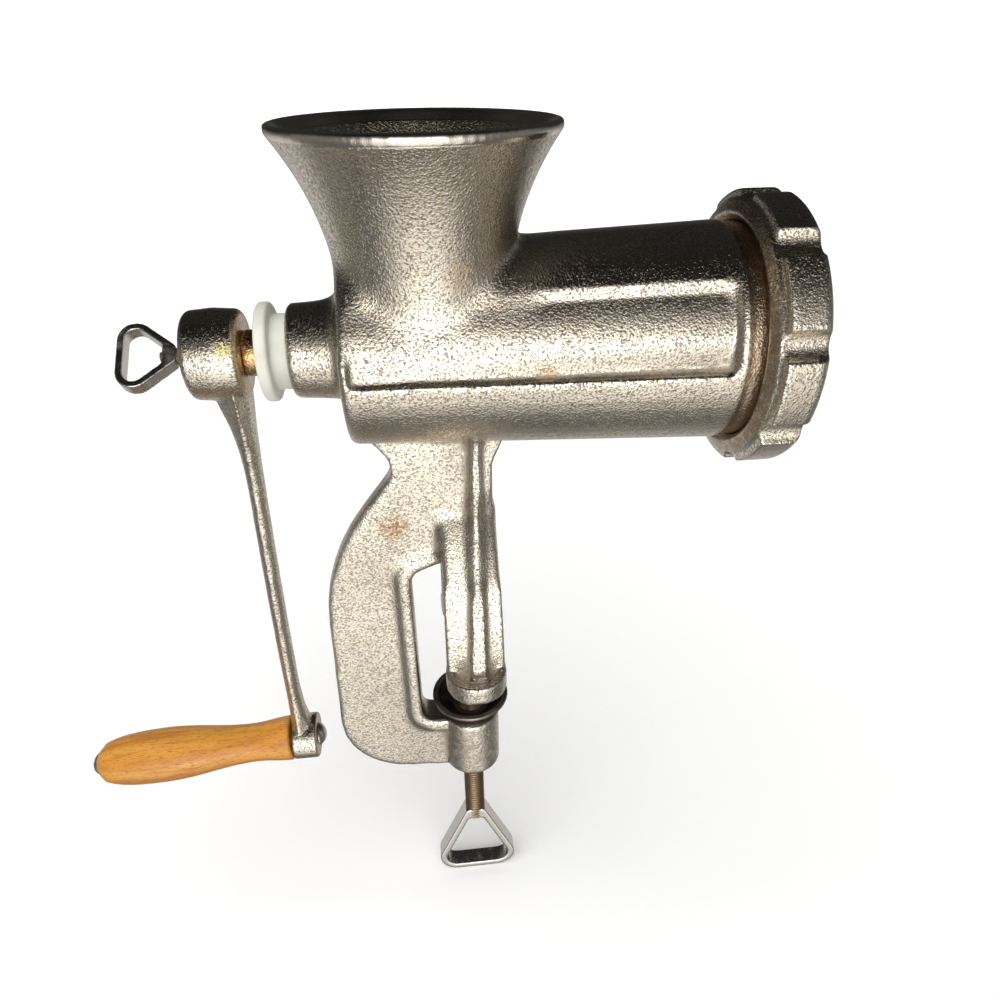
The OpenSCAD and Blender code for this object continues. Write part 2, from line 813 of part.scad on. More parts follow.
module ring_nut() {
  bore = spigot_r + ring_thread_gap;
  lip_r = ring_r - notch_depth + lip_rise;
  lobe_edge = lip_rise;
  color("#b5aea0")
    along_axis(ring_back)
      difference() {
        rotate_extrude()
          polygon(concat(
            [[outlet_r, ring_w], [outlet_r, ring_w - ring_lip], [bore, ring_w - ring_lip],
             [bore, ring_rear_r - bore], [ring_rear_r, 0], [lip_r, ring_cone], [lip_r, notch_rim],
             [ring_r - lobe_edge, notch_rim + lobe_edge], [ring_r, notch_rim + 2 * lobe_edge]],
            arc([ring_r - ring_round, ring_w - ring_round], ring_round, 0, 90, 6)
          ));
        for (i = [0:notches - 1])
          rotate(180 - notch_turn + 360 * i / notches)
            translate([0, ring_r + notch_r - notch_depth, notch_rim - lobe_edge])
              cylinder(h = ring_w, r = notch_r);
      }
}

// Local Z along the handle, outwards from the eye of the crank
module along_handle() {
  translate([eye_x, 0, eye_z]) rotate([0, -90 - handle_tilt, 0]) children();
}

// Section of the arm at a distance s below the shaft: a flat bar with a parting ridge on each edge
function arm_ring(s) =
  let (hub = pow(max(0, 1 - max(0, s - hub_r / 2) / hub_flare), 2))
  let (eye = pow(max(0, 1 - (crank_r - s) / eye_flare), 3))
  let (flush = eye_back + eye_t / 2 - arm_t / 2 - arm_skin)
  let (x = hub_front - arm_back - (flush - arm_back) * sin(90 * s / crank_r))
  let (x0 = x - arm_t / 2 - arm_swell * hub)
  let (x1 = x + arm_t / 2 + (eye_t - arm_t - 2 * arm_skin) * eye)
  let (w = arm_w / 2 + (0.9 * hub_r - arm_w / 2) * hub + (0.85 * eye_r - arm_w / 2) * eye, z = axis_h - s)
  [[x0, -w / 2, z], [x, -w, z], [x1, -w / 2, z], [x1, w / 2, z], [x, w, z], [x0, w / 2, z]];

module crank_arm() {
  hole = tang + 2 * square_gap;
  top = hub_r / 3;
  n = 18;
  color("#aaa498")
    difference() {
      union() {
        along_axis(hub_back)
          rotate_extrude()
            polygon([
              [0, 0], [hub_r - hub_bevel, 0], [hub_r, hub_bevel], [hub_r + hub_ridge, hub_len / 2],
              [hub_r, hub_len - hub_bevel], [hub_r - hub_bevel, hub_len], [0, hub_len]
            ]);
        skin([for (i = [0:n]) arm_ring(top + (crank_r - top) * i / n)]);
        translate([eye_x - eye_t / 2, 0, eye_z]) rotate([0, 90, 0]) cylinder(h = eye_t, r = eye_r);
      }
      along_axis(hub_back - cut)
        translate([-hole / 2, -hole / 2, 0]) cube([hole, hole, hub_len + 2 * cut]);
      along_handle() translate([0, 0, -eye_t]) cylinder(h = 2 * eye_t, r = bolt_r + pressed);
    }
}

// Dome of height h over a base of radius r
module dome(r, h) {
  ball = (r * r + h * h) / (2 * h);
  low = asin((ball - h) / ball);
  rotate_extrude() polygon(concat([[0, 0]], arc([0, h - ball], ball, low, 89.9, 8), [[0, h]]));
}

module crank_washer() {
  color("#9d9a93")
    translate([hub_back - seat, 0, axis_h])
      rotate([0, -90, 0])
        difference() {
          dome(dome_r, dome_h);
          translate([0, 0, -cut]) cylinder(h = dome_h + 2 * cut, r = thumb_r + running);
        }
}

// Length of the solid tip of a loop, where the ends of its strap overlap
function loop_tip(t) = 2 * t;

// Screw shank of length l and radius r, with a pin that is peened inside the tip of a loop
module loop_shank(l, r, pin_r, t) {
  cylinder(h = l, r = r);
  translate([0, 0, l - cut]) cylinder(h = loop_tip(t) + seat + 2 * cut, r = pin_r);
}

module crank_screw() {
  inner_end = tang_end + thumb_in;
  color("#8f8b84")
    translate([inner_end, 0, axis_h])
      rotate([0, -90, 0])
        union() loop_shank(inner_end - thumb_seat, thumb_r, thumb_pin_r, thumb_strap_t);
}

// Loop of strap t thick, w wide and h long: its tip is at the origin and it opens along -Y
module loop_outline(w, h, t, bend, pin_r) {
  half = w / 2;
  tip = pin_r + t / 2;
  lean = atan((half - tip) / (h - bend));
  foot = half + bend * (1 / cos(lean) - 1 + tan(lean));
  slope = (foot - tip) / h;
  inset = t * sqrt(1 + slope * slope);
  top = loop_tip(t);
  in_top = tip + top * slope - inset;
  in_low = foot - t * slope - inset;
  outer = [[-tip, 0], [tip, 0], [foot, -h], [-foot, -h]];
  inner = [[-in_top, -top], [in_top, -top], [in_low, t - h], [-in_low, t - h]];
  difference() {
    polygon(rounded(outer, [t, t, bend, bend], 8));
    polygon(rounded(inner, [t / 2, t / 2, bend - t, bend - t], 6));
  }
}

module crank_loop() {
  tip = thumb_seat - seat;
  color("#918d86")
    difference() {
      translate([tip, 0, axis_h])
        rotate([90 - thumb_turn, 0, 0])
          rotate([0, 0, -90])
            linear_extrude(thumb_strap_w, center = true)
              loop_outline(thumb_loop_w, thumb_loop_h, thumb_strap_t, thumb_bend, thumb_pin_r);
      tube_x(tip - loop_tip(thumb_strap_t) - cut, tip + cut, thumb_pin_r + pressed);
    }
}

module handle_bolt() {
  tail = eye_t / 2 + bolt_head_r * tan(handle_tilt);
  color("#a3a09a")
    along_handle()
      union() {
        translate([0, 0, -tail]) cylinder(h = tail + grip_end + cut, r = bolt_r);
        translate([0, 0, -tail]) mirror([0, 0, 1]) dome(bolt_head_r, bolt_head_h);
        translate([0, 0, grip_end]) dome(bolt_head_r, bolt_head_h);
      }
}

// Radius of the grip at a distance z from its inner end, eased between its four radii
grip_crown = 2.6;
function ease(a, b, t) = a + (b - a) * (1 - cos(180 * t)) / 2;
function grip_r(z) =
  z < grip_neck_at ? ease(grip_r_in, grip_r_neck, z / grip_neck_at) :
  z < grip_belly_at ?
    ease(grip_r_neck, grip_r_belly, (z - grip_neck_at) / (grip_belly_at - grip_neck_at)) :
  let (t = (z - grip_belly_at) / (grip_len - grip_belly_at))
  grip_r_out + (grip_r_belly - grip_r_out) * sqrt(max(0, 1 - pow(t, grip_crown)));

module handle_grip() {
  n = 26;
  edge = 0.8;
  profile = concat(
    [[bolt_r + running, 0], [grip_r_in - edge, 0]],
    [for (i = [0:n]) [grip_r(grip_len * i / n), max(edge, grip_len * i / n)]],
    [[bolt_r + running, grip_len]]
  );
  color("#c98d3f") along_handle() translate([0, 0, grip_start]) rotate_extrude() polygon(profile);
}

module clamp_screw() {
  shoulder = pad_low - seat;
  color("#96816a")
    union() {
      translate([0, 0, shoulder])
        mirror([0, 0, 1])
          loop_shank(shoulder - loop_top, screw_r, clamp_pin_r, clamp_strap_t);
      translate([0, 0, shoulder - cut]) cylinder(h = pad_floor + 2 * seat + cut - shoulder, r = neck_r);
      translate([0, 0, pad_floor + seat]) dome(tip_r, tip_h);
    }
}

module clamp_loop() {
  tip = loop_top - seat;
  deep = loop_tip(clamp_strap_t);
  color("#918d86")
    difference() {
      translate([0, 0, tip])
        in_xz(clamp_strap_w)
          loop_outline(clamp_loop_w, clamp_loop_h, clamp_strap_t, clamp_bend, clamp_pin_r);
      translate([0, 0, tip - deep - cut]) cylinder(h = deep + 2 * cut, r = clamp_pin_r + pressed);
    }
}

module pressure_pad() {
  height = pad_dish + pad_t;
  color("#4d463e")
    difference() {
      translate([0, 0, pad_low])
        rotate_extrude()
          polygon([
            [0, 0], [pad_floor_r, 0], [pad_r, height - pad_rim_h], [pad_r, height],
            [pad_r - pad_rim, height], [pad_floor_r, pad_t], [0, pad_t]
          ]);
      translate([0, 0, pad_low - cut]) cylinder(h = pad_t + 2 * cut, r = neck_r + running);
    }
}

body_casting();
rear_bushing();
auger();
knife_stud();
knife();
grinding_plate();
plate_key();
ring_nut();
crank_arm();
crank_washer();
crank_screw();
crank_loop();
handle_bolt();
handle_grip();
clamp_screw();
clamp_loop();
pressure_pad();
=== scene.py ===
# %% [markdown]
# # A hand-cranked meat grinder
# The solids of the grinder come from its CAD model as a fixed frame: every piece is already in its place,
# in metres, with +X towards the outlet and +Z up. This lesson dresses that frame. Castings get their soft
# edges, the clamp screw gets its thread, and every surface gets a finish made of nodes.

# %% Load the frame
import math

import bmesh
import bpy
import numpy as np
from mathutils import Matrix, Vector


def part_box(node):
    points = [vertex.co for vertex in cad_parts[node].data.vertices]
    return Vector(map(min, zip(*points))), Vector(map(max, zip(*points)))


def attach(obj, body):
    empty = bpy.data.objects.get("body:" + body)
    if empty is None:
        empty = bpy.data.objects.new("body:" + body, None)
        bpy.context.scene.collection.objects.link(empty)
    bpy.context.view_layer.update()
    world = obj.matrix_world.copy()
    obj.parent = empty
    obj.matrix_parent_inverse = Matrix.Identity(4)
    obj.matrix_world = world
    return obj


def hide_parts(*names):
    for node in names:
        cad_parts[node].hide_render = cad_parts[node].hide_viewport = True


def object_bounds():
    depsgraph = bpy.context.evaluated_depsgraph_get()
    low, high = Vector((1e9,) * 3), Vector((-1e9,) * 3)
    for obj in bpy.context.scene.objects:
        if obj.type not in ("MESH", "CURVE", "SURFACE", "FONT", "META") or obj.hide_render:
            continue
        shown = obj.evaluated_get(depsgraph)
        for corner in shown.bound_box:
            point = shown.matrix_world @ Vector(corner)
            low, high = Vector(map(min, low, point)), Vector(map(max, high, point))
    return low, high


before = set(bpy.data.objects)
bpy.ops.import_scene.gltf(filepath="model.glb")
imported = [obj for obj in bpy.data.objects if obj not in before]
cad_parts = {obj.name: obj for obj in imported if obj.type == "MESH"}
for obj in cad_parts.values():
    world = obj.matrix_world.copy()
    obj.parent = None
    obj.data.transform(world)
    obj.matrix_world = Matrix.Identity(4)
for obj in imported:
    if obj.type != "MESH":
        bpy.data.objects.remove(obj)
cad_box = [list(corner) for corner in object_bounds()]
MM = 0.001

# %% [markdown]
# ## The camera
# The picture was taken from above the front, close to the object, so the lens is wide and the verticals
# lean. A camera can be aimed with a Track To constraint, but here its three axes are worked out from yaw,
# pitch and roll, because those are the numbers that a fitted camera gives.

# %% Place the camera
YAW, PITCH, ROLL = 0.104, 0.547, -0.013
CAMERA_AT = (-0.01137, -0.25599, 0.2315)
ahead = Vector((math.sin(YAW) * math.cos(PITCH), math.cos(YAW) * math.cos(PITCH), -math.sin(PITCH)))
level = Vector((math.cos(YAW), -math.sin(YAW), 0.0))
above = level.cross(ahead)
right = math.cos(ROLL) * level + math.sin(ROLL) * above
up = math.cos(ROLL) * above - math.sin(ROLL) * level

lens = bpy.data.cameras.new("view")
lens.lens = 27.0
lens.sensor_width = 36.0
lens.clip_start = 0.01
viewer = bpy.data.objects.new("view", lens)
turn = Matrix((right, up, -ahead)).transposed()
viewer.matrix_world = Matrix.Translation(CAMERA_AT) @ turn.to_4x4()
scene = bpy.context.scene
scene.collection.objects.link(viewer)
scene.camera = viewer
print("camera looks along", [round(v, 3) for v in ahead])

# %% [markdown]
# ## The floor
# The real one stood on a bright white sheet. A plain plane would show its far edge as a line, so the sheet
# is bent up behind the object in a wide curve, as photographers hang their paper.

# %% Hang the paper
FLOOR = cad_box[0][2] - 0.5 * MM
NEAR_END, BEND_AT, BEND, TOP, HALF_WIDTH = -3.0, 2.2, 0.8, 2.4, 5.0
bend_angles = np.linspace(0.1, math.pi / 2, 12)
sweep = [(NEAR_END, 0.0), (BEND_AT, 0.0)]
sweep += [(BEND_AT + BEND * math.sin(a), BEND - BEND * math.cos(a)) for a in bend_angles]
sweep += [(BEND_AT + BEND, TOP)]
points = [(x, y, FLOOR + z) for y, z in sweep for x in (-HALF_WIDTH, HALF_WIDTH)]
faces = [(2 * i, 2 * i + 1, 2 * i + 3, 2 * i + 2) for i in range(len(sweep) - 1)]
paper = bpy.data.meshes.new("paper_sweep")
paper.from_pydata(points, [], faces)
paper.shade_smooth()
floor = bpy.data.objects.new("paper_sweep", paper)
scene.collection.objects.link(floor)
print("floor at", round(FLOOR, 4), "m")

# %% [markdown]
# ## The lamp
# Bare metal shows its surroundings more than its own colour, so lamp and surroundings are kept apart here.
# One broad lamp gives the shadow and lights wood, plastic and paper. Mirrors see neither the lamp nor the
# paper: what they do see is the room, which comes further down.

# %% Hang the lamp
LAMP_AT = Vector((-0.8, -1.4, 2.6))
LAMP_AIM = Vector((0.0, 0.0, 0.08))
sun = bpy.data.lights.new("broad_lamp", "SUN")
sun.energy = 3.3
sun.angle = 1.4
broad = bpy.data.objects.new("broad_lamp", sun)
broad.location = LAMP_AT
broad.rotation_euler = (LAMP_AIM - LAMP_AT).to_track_quat("-Z", "Y").to_euler()
scene.collection.objects.link(broad)
broad.visible_glossy = False
floor.visible_glossy = False
scene.view_settings.view_transform = "Standard"
print("lamp:", broad.name)

# %% [markdown]
# ## Shader maths as Python
# A finish is a chain of small sums: this noise times that mask, mixed into a colour. Written node by node
# such a chain is long and hard to read. The class below wraps one socket, so that `1 - mask * 0.5` adds its
# Math nodes by itself, and one method adds any other kind of node.

# %% Wrap a socket
class Wire:
    """One socket of a node tree, which Python's operators can work on."""

    def __init__(self, tree, socket=None):
        self.tree = tree
        self.socket = socket

    def feed(self, node, sockets):
        """Link wires to a node's sockets and set plain values on them."""
        for name, value in sockets.items():
            if isinstance(value, Wire):
                self.tree.links.new(value.socket, node.inputs[name])
            else:
                node.inputs[name].default_value = value

    def set_stops(self, ramp, stops):
        while len(ramp.elements) < len(stops):
            ramp.elements.new(1.0)
        for element, (at, colour) in zip(ramp.elements, stops):
            element.position = at
            element.color = colour

    def node(self, kind, settings=None, sockets=None, out=0):
        """Add a node, first its settings and then its sockets, and give one of its outputs."""
        made = self.tree.nodes.new(kind)
        for name, value in (settings or {}).items():
            if name == "stops":
                self.set_stops(made.color_ramp, value)
            else:
                setattr(made, name, value)
        self.feed(made, sockets or {})
        return Wire(self.tree, made.outputs[out])

    def maths(self, operation, first, second):
        return self.node("ShaderNodeMath", {"operation": operation}, {0: first, 1: second})

    def __add__(self, other):
        return self.maths("ADD", self, other)

    def __sub__(self, other):
        return self.maths("SUBTRACT", self, other)

    def __rsub__(self, other):
        return self.maths("SUBTRACT", other, self)

    def __mul__(self, other):
        return self.maths("MULTIPLY", self, other)

    def __truediv__(self, other):
        return self.maths("DIVIDE", self, other)

    def __rtruediv__(self, other):
        return self.maths("DIVIDE", other, self)

    def __pow__(self, other):
        return self.maths("POWER", self, other)

    def __rpow__(self, other):
        return self.maths("POWER", other, self)

    __radd__ = __add__
    __rmul__ = __mul__

    def rise(self, low, high):
        """A soft step: 0 at low and 1 at high."""
        sockets = {"Value": self, "From Min": low, "From Max": high}
        return self.node("ShaderNodeMapRange", {"interpolation_type": "SMOOTHSTEP"}, sockets)

    def mix(self, first, second):
        """This value as the factor between two colours."""
        return self.node("ShaderNodeMix", {"data_type": "RGBA"}, {0: self, 6: first, 7: second}, 2)


def rgb(red, green, blue):
    return (red, green, blue, 1.0)


print("Wire is ready")

# %% [markdown]
# ## Patterns that the finishes share
# A few patterns are used again and again. Grain is noise of a given size in millimetres. A patch is a soft
# ball around a point on the object, for a stain that sits in one place, and a band is a stretch along the
# barrel. Some pieces carry values on their points, such as how deep a point lies in a corner, and a finish
# can read those.

# %% Name the patterns
def start(name):
    """A new material: its shader, a wire to build with, and the place on the object in millimetres."""
    material = bpy.data.materials.new(name)
    material.use_nodes = True
    tree = material.node_tree
    shader = tree.nodes["Principled BSDF"]
    wire = Wire(tree)
    place = wire.node("ShaderNodeTexCoord", out="Object")
    place = wire.node("ShaderNodeVectorMath", {"operation": "SCALE"}, {0: place, "Scale": 1000.0})
    return material, shader, wire, place


def grain(place, size, detail=2.0, rough=0.5):
    sockets = {"Vector": place, "Scale": 1.0 / size, "Detail": detail, "Roughness": rough}
    return place.node("ShaderNodeTexNoise", {"noise_dimensions": "3D"}, sockets)


def patch(place, centre, reach):
    away = place.node("ShaderNodeVectorMath", {"operation": "DISTANCE"}, {0: place, 1: centre}, "Value")
    return 1 - away.rise(0.2 * reach, reach)


def part_of(vector, axis):
    return vector.node("ShaderNodeSeparateXYZ", {}, {0: vector}, axis)


def band(place, low, high):
    """A stretch of the object between two distances along X, with soft ends."""
    along = part_of(place, "X")
    return along.rise(low - 0.5, low + 0.5) * (1 - along.rise(high - 0.5, high + 0.5))


def carried(wire, name):
    return wire.node("ShaderNodeAttribute", {"attribute_name": name}, out="Fac")


print("patterns: grain, patch, band, carried")

# %% [markdown]
# ## Tinned iron
# The body, ring, crank and worm are sand castings that were dipped in tin. The sand leaves a fine grain
# with dark pits, the tin gives a warm silver, and grease turns brown in the corners, where shade is also
# painted in the same brown. Colour goes from the warm silver to a greyer one in broad clouds, to brown in
# the hollows as grease and painted shade, and to bright metal on the edges, and the grain goes into a Bump
# node as well. Rust and old oil are not metal, so a stain also takes the metallic shine away. The rim of
# the hopper is worn smooth by hands, which is why the grain fades above a given height.

# %% Mix the tinned finish
TIN = rgb(0.83, 0.76, 0.635)
TIN_GREY = rgb(0.72, 0.66, 0.555)
TIN_BRIGHT = rgb(0.92, 0.87, 0.77)
GREASE_AND_SHADE = rgb(0.15, 0.10, 0.055)
NOWHERE = 1000.0


def tinned(name, sand=1.0, polish=0.11, stains=(), bands=(), worn_above=NOWHERE):
    """Stains are (centre, reach, tint, amount) and bands are (low, high, tint, amount), in millimetres."""
    material, shader, wire, place = start(name)
    cloud = grain(place, 38.0, 3.0)
    speck = grain(place, 0.78, 2.0, 0.65)
    skin = grain(place, 3.4, 3.0)
    glint = speck.rise(0.5, 0.78)
    hollow = carried(wire, "hollow")
    edge = carried(wire, "edge")
    sandy = 1 - 0.85 * part_of(place, "Z").rise(worn_above - 0.3, worn_above + 0.3)
    colour = cloud.rise(0.35, 0.7).mix(TIN, TIN_GREY)
    colour = (edge * 0.7).mix(colour, TIN_BRIGHT)
    # Painted shade: the hollows darken to dark brown, partly real grease and partly painted shade.
    dirt_and_shade = (hollow * (0.5 + 0.9 * skin)).rise(0.22, 1.0)
    colour = (dirt_and_shade * 0.8).mix(colour, GREASE_AND_SHADE)
    pits = 0.37 * speck.rise(0.38, 0.66) + 0.25 * speck.rise(0.58, 0.74) * skin.rise(0.35, 0.65)
    colour = (pits * sandy).mix(colour, GREASE_AND_SHADE)
    dull = dirt_and_shade
    for centre, reach, tint, amount in stains:
        blots = grain(place, reach * 0.16, 3.0, 0.7).rise(0.47, 0.56)
        spot = patch(place, centre, reach) * blots * amount
        colour = spot.mix(colour, tint)
        dull = wire.maths("MAXIMUM", dull, spot)
    for low, high, tint, amount in bands:
        spread = band(place, low, high) * (0.55 + 0.45 * skin.rise(0.35, 0.6))
        colour = (spread * amount).mix(colour, tint)
    rough = polish + 0.08 * cloud + 0.07 * skin + 0.25 * dirt_and_shade
    height = (speck * 0.6 + glint * 0.35 + skin * 0.25) * sandy
    bump = wire.node("ShaderNodeBump", {}, {"Strength": sand, "Distance": 0.3 * MM, "Height": height})
    metallic = 1 - 0.8 * dull
    wire.feed(shader, {"Base Color": colour, "Roughness": rough, "Metallic": metallic, "Normal": bump})
    return material


print("tinned() is ready")

# %% [markdown]
# ## What years of use left on the castings, and painted shade
# Rust sits on the flat of the frame, ochre traces at the foot of the hopper and on the barrel, the clamp
# boss is made darker brown, and behind the ring fat and painted shade darken the neck and the ring's back.
# The crank's hub has a drop of old oil, and the journal of the worm wore down to a copper tone. They could
# be painted on by hand, but as a tint with its place each one is a single line that is easy to change.

# %% Tint the castings
RUST = rgb(0.30, 0.10, 0.02)
OCHRE = rgb(0.48, 0.27, 0.07)
OLD_OIL = rgb(0.80, 0.64, 0.19)
FAT_AND_SHADE = rgb(0.44, 0.33, 0.22)
COPPER = rgb(0.62, 0.40, 0.19)
RIM_LOW = 208.9

# The band from the barrel's front to the ring darkens the neck: partly fat, partly painted shade.
casting_finish = tinned("tinned_casting", worn_above=RIM_LOW, bands=((91.8, 112.0, FAT_AND_SHADE, 0.9),), stains=(
    ((-28.0, -5.0, 68.5), 9.0, OCHRE, 0.5),
    ((-28.0, -5.0, 68.0), 8.0, RUST, 1.0),
    ((-22.9, -5.0, 69.0), 2.8, RUST, 1.0),
    ((1.5, -28.0, 172.0), 8.0, OCHRE, 0.6),
    ((27.5, -32.4, 141.2), 4.0, OCHRE, 0.9),
    # A soft patch that makes the clamp boss darker brown.
    ((2.0, -13.0, -60.0), 22.0, GREASE_AND_SHADE, 0.45),
))
# The band on the back of the ring is partly fat, partly painted shade.
ring_finish = tinned("tinned_ring", bands=((95.0, 98.8, FAT_AND_SHADE, 0.8),))
crank_finish = tinned("tinned_crank", sand=0.9, polish=0.12, bands=((-73.4, -70.0, OCHRE, 0.6),), stains=(
    ((-76.0, -14.0, 147.0), 5.0, OLD_OIL, 1.0),
))
worm_finish = tinned("tinned_worm", sand=0.8, bands=((-120.0, -41.0, COPPER, 1.0),))
print("tinned finishes:", casting_finish.name, ring_finish.name, crank_finish.name, worm_finish.name)

# %% [markdown]
# ## Plated and bare steel
# The loops are plated strap, the screws have gone brown, and the pad is nearly black with a bare rim. Each
# could have a node tree of its own, but they are one recipe with other numbers: a base tone, a tarnish that
# comes in clouds, and a worn tint on the edges of the pieces that carry edge values.

# %% Mix the steels
def steel(name, tone, tarnish, amount, polish=0.28, scratch=0.2, worn=TIN_BRIGHT):
    material, shader, wire, place = start(name)
    cloud = grain(place, 6.0, 4.0, 0.6)
    fine = grain(place, 0.5, 2.0)
    hollow = carried(wire, "hollow")
    edge = carried(wire, "edge")
    film = (cloud + 0.6 * hollow).rise(0.42, 0.85) * amount
    colour = film.mix(tone, tarnish)
    colour = (edge * 0.75).mix(colour, worn)
    rough = polish + 0.22 * film + 0.12 * fine
    height = fine + cloud
    bump = wire.node("ShaderNodeBump", {}, {"Strength": scratch, "Distance": 0.1 * MM, "Height": height})
    metallic = 1 - 0.5 * film
    wire.feed(shader, {"Base Color": colour, "Roughness": rough, "Metallic": metallic, "Normal": bump})
    return material


loop_finish = steel("plated_strap", rgb(0.74, 0.715, 0.67), rgb(0.40, 0.35, 0.28), amount=0.25, polish=0.18,
                    scratch=0.1)
screw_finish = steel("brown_screw", rgb(0.42, 0.29, 0.19), rgb(0.14, 0.075, 0.035), amount=0.75)
bright_finish = steel("ground_steel", rgb(0.62, 0.60, 0.57), rgb(0.33, 0.27, 0.20), amount=0.35, polish=0.22)
pad_finish = steel("blackened_pad", rgb(0.085, 0.07, 0.06), rgb(0.05, 0.032, 0.02), amount=0.6, polish=0.34,
                   worn=rgb(0.72, 0.68, 0.6))
print("steels:", loop_finish.name, screw_finish.name, bright_finish.name, pad_finish.name)

# %% [markdown]
# ## Beech
# The grip is turned beech under varnish: fine dark flecks that run along the grip, in a honey ground with
# broad bands. Wood could be an image, but flecks are only noise that is stretched along the grip, so nodes
# do it and nothing repeats. The grip points backwards and droops a little, so the noise is turned to match.

# %% Mix the beech
GRIP_DROOP = math.radians(3.6)


def stretched(place, along):
    return place.node("ShaderNodeMapping", {"vector_type": "POINT"}, {"Vector": place, "Scale": along})


def beech(name):
    material, shader, wire, place = start(name)
    lean = GRIP_DROOP - math.pi
    turned_place = place.node("ShaderNodeMapping", {}, {"Vector": place, "Rotation": (0.0, lean, 0.0)})
    fleck = grain(stretched(turned_place, (0.30, 2.3, 2.3)), 1.0, 2.0, 0.5)
    ray = grain(stretched(turned_place, (0.035, 0.55, 0.55)), 1.0, 3.0, 0.55)
    year = grain(stretched(turned_place, (0.008, 0.14, 0.14)), 1.0, 2.0)
    colour = year.rise(0.35, 0.68).mix(rgb(0.60, 0.28, 0.042), rgb(0.50, 0.20, 0.024))
    colour = (ray.rise(0.42, 0.68) * 0.6).mix(colour, rgb(0.38, 0.135, 0.022))
    colour = (fleck.rise(0.55, 0.68) * 0.65).mix(colour, rgb(0.22, 0.07, 0.014))
    rough = 0.34 + 0.2 * ray
    height = fleck.rise(0.55, 0.7) * 0.7 + ray * 0.5
    bump = wire.node("ShaderNodeBump", {}, {"Strength": 0.25, "Distance": 0.1 * MM, "Height": height})
    wire.feed(shader, {"Base Color": colour, "Roughness": rough, "Normal": bump})
    wire.feed(shader, {"Coat Weight": 0.3, "Coat Roughness": 0.18})
    return material


grip_finish = beech("varnished_beech")
print("wood:", grip_finish.name)

# %% [markdown]
# ## Milky plastic and paper
# The bushing is a milky plastic, slightly green, with a few specks of dirt. The floor is matte paper. It is
# only the stage, but it lights the underside of everything, so it has a faint tooth and its white is not
# pure.

# %% Mix the plastic and the paper
def milky(name):
    material, shader, wire, place = start(name)
    cloud = grain(place, 9.0, 3.0)
    fine = grain(place, 0.6, 2.0)
    colour = cloud.rise(0.3, 0.7).mix(rgb(0.66, 0.665, 0.59), rgb(0.57, 0.58, 0.51))
    colour = (fine.rise(0.66, 0.76) * 0.4).mix(colour, rgb(0.45, 0.41, 0.33))
    bump = wire.node("ShaderNodeBump", {}, {"Strength": 0.12, "Distance": 0.1 * MM, "Height": fine})
    wire.feed(shader, {"Base Color": colour, "Roughness": 0.35 + 0.15 * cloud, "Normal": bump})
    return material


def matte_paper(name):
    material, shader, wire, place = start(name)
    tooth = grain(place, 3.0, 3.0)
    colour = tooth.mix(rgb(0.955, 0.955, 0.95), rgb(0.975, 0.975, 0.97))
    wire.feed(shader, {"Base Color": colour, "Roughness": 0.9})
    return material


bushing_finish = milky("milky_plastic")
paper.materials.append(matte_paper("white_paper"))
print("also:", bushing_finish.name, paper.materials[0].name)

# %% [markdown]
# ## The room
# The room is what the metal mirrors: a bright window in front, with a lamp glowing in it, dark walls to the
# sides, a black ceiling and a weaker glow behind. That is why the top of the barrel is nearly black and the
# lower half is bright. It could be an image of a real room, but brightness by height, once for each of the
# three directions, is enough. The lens itself sees none of it, only a pale backdrop behind the paper.

# %% Set the brightness by height, from straight below at 0 to straight above at 1
WINDOW = (
    (0.0, 0.12), (0.03, 0.15), (0.06, 0.28), (0.10, 0.9), (0.15, 1.25), (0.29, 1.3), (0.40, 1.3),
    (0.5, 1.0), (0.6, 0.6), (0.75, 0.25), (0.85, 0.08), (0.93, 0.02),
)
WALLS = ((0.0, 0.12), (0.25, 0.14), (0.5, 0.18), (0.63, 0.14), (0.75, 0.07), (0.86, 0.02), (0.95, 0.01))
REAR = ((0.0, 0.3), (0.15, 0.55), (0.34, 0.62), (0.40, 0.42), (0.45, 0.24), (0.5, 0.12), (0.58, 0.025))
BRIGHTEST = 2.0
WARMTH = (1.0, 0.985, 0.955)

world = bpy.data.worlds.new("room")
scene.world = world
world.use_nodes = True
sky = Wire(world.node_tree)
towards = sky.node("ShaderNodeTexCoord", out="Generated")
across, depth, height = (part_of(towards, axis) for axis in "XYZ")


def by_height(levels):
    stops = [(at, rgb(*(level / BRIGHTEST * tone for tone in WARMTH))) for at, level in levels]
    return sky.node("ShaderNodeValToRGB", {"stops": stops}, {0: height * 0.5 + 0.5})


print("room levels:", len(WINDOW), len(WALLS), len(REAR))

# %% [markdown]
# ## The three directions together
# A mirror that looks to the front sees the window, to the sides the walls and to the rear the weaker glow.
# Three separate skies would leave seams in the metal, so soft steps mix them. A Light Path node tells the
# camera's own rays apart, and those get the plain backdrop.

# %% Join the three directions
GLOW_FROM = Vector((-0.05, -0.99, 0.10)).normalized()
GLOW = 6.0
BACKDROP = 0.95

turned_to = (0 - depth) / (across * across + depth * depth + 0.0001) ** 0.5
front = turned_to.rise(0.55, 0.99).mix(by_height(WALLS), by_height(WINDOW))
room = depth.rise(0.1, 0.5).mix(front, by_height(REAR))
facing = sky.node("ShaderNodeVectorMath", {"operation": "DOT_PRODUCT"}, {0: towards, 1: GLOW_FROM}, "Value")
strength = BRIGHTEST + GLOW * facing.rise(0.87, 0.985)
direct = sky.node("ShaderNodeLightPath", out="Is Camera Ray")
colour = direct.mix(room, rgb(BACKDROP, BACKDROP, BACKDROP))
strength = strength * (1 - direct) + direct
sky.feed(world.node_tree.nodes["Background"], {"Color": colour, "Strength": strength})
print("room:", len(world.node_tree.nodes), "nodes")

